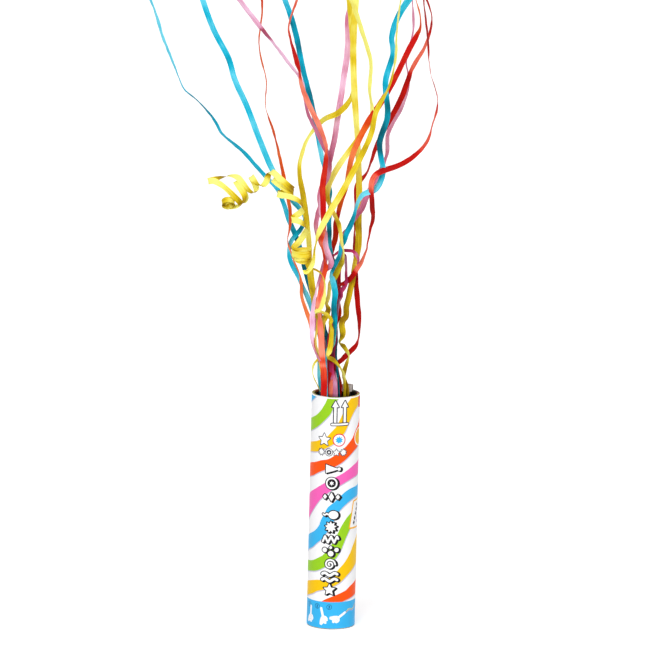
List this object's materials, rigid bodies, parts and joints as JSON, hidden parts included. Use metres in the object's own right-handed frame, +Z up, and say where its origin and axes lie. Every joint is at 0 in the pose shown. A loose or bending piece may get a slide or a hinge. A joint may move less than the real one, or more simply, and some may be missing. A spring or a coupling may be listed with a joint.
{
  "type": "streamer stick",
  "caption": "Hand-held cardboard tube that throws paper streamers from its open mouth while their tails stay glued inside, shown standing with its streamers thrown.",
  "frame": {"origin": "centre of the tube's closed end, on the surface that it stands on", "axes": "+Z up along the tube towards its open mouth, -Y towards the viewer of the picture, +X to the right"},
  "size_m": [0.1913, 0.1026, 0.4277],
  "materials": {
    "core_board": "raw spiral-wound board",
    "black_ply": "matte black inner ply",
    "printed_paper": "printed and lightly varnished",
    "base_board": "raw board",
    "hot_glue": "cloudy hot-melt glue",
    "paper_magenta": "thin tissue paper",
    "paper_yellow": "thin tissue paper",
    "paper_coral": "thin tissue paper",
    "paper_cyan": "thin tissue paper",
    "paper_pink": "thin tissue paper",
    "paper_red": "thin tissue paper",
    "paper_orange": "thin tissue paper",
    "paper_taupe": "thin tissue paper"
  },
  "bodies": {
    "stick": {"tube_core": "core_board", "inner_liner": "black_ply", "printed_label": "printed_paper", "base_disc": "base_board", "glue_pad": "hot_glue", "streamer_magenta_loop": "paper_magenta", "streamer_yellow_curly": "paper_yellow", "streamer_coral_mid": "paper_coral", "streamer_cyan_mid": "paper_cyan", "streamer_pink_left": "paper_pink", "streamer_pink_mid": "paper_pink", "streamer_pink_right": "paper_pink", "streamer_red_far_right": "paper_red", "streamer_yellow_diagonal": "paper_yellow", "streamer_orange_diagonal": "paper_orange", "streamer_red_right": "paper_red", "streamer_yellow_mid": "paper_yellow", "streamer_cyan_right": "paper_cyan", "streamer_yellow_pale": "paper_yellow", "streamer_red_thin": "paper_red", "streamer_cyan_left": "paper_cyan", "streamer_yellow_arc": "paper_yellow", "streamer_cyan_far_left": "paper_cyan", "streamer_drum": "paper_yellow", "streamer_curls": "paper_yellow", "streamer_end_roll": "paper_yellow", "mouth_roll_tail": "paper_taupe"},
    "loose_roll": {"mouth_roll": "paper_taupe"}
  },
  "joints": [
    {"name": "roll_slide", "type": "slide", "parent": "stick", "child": "loose_roll", "axis": [0, 0, 1], "range_m": [0, 0.015]}
  ]
}
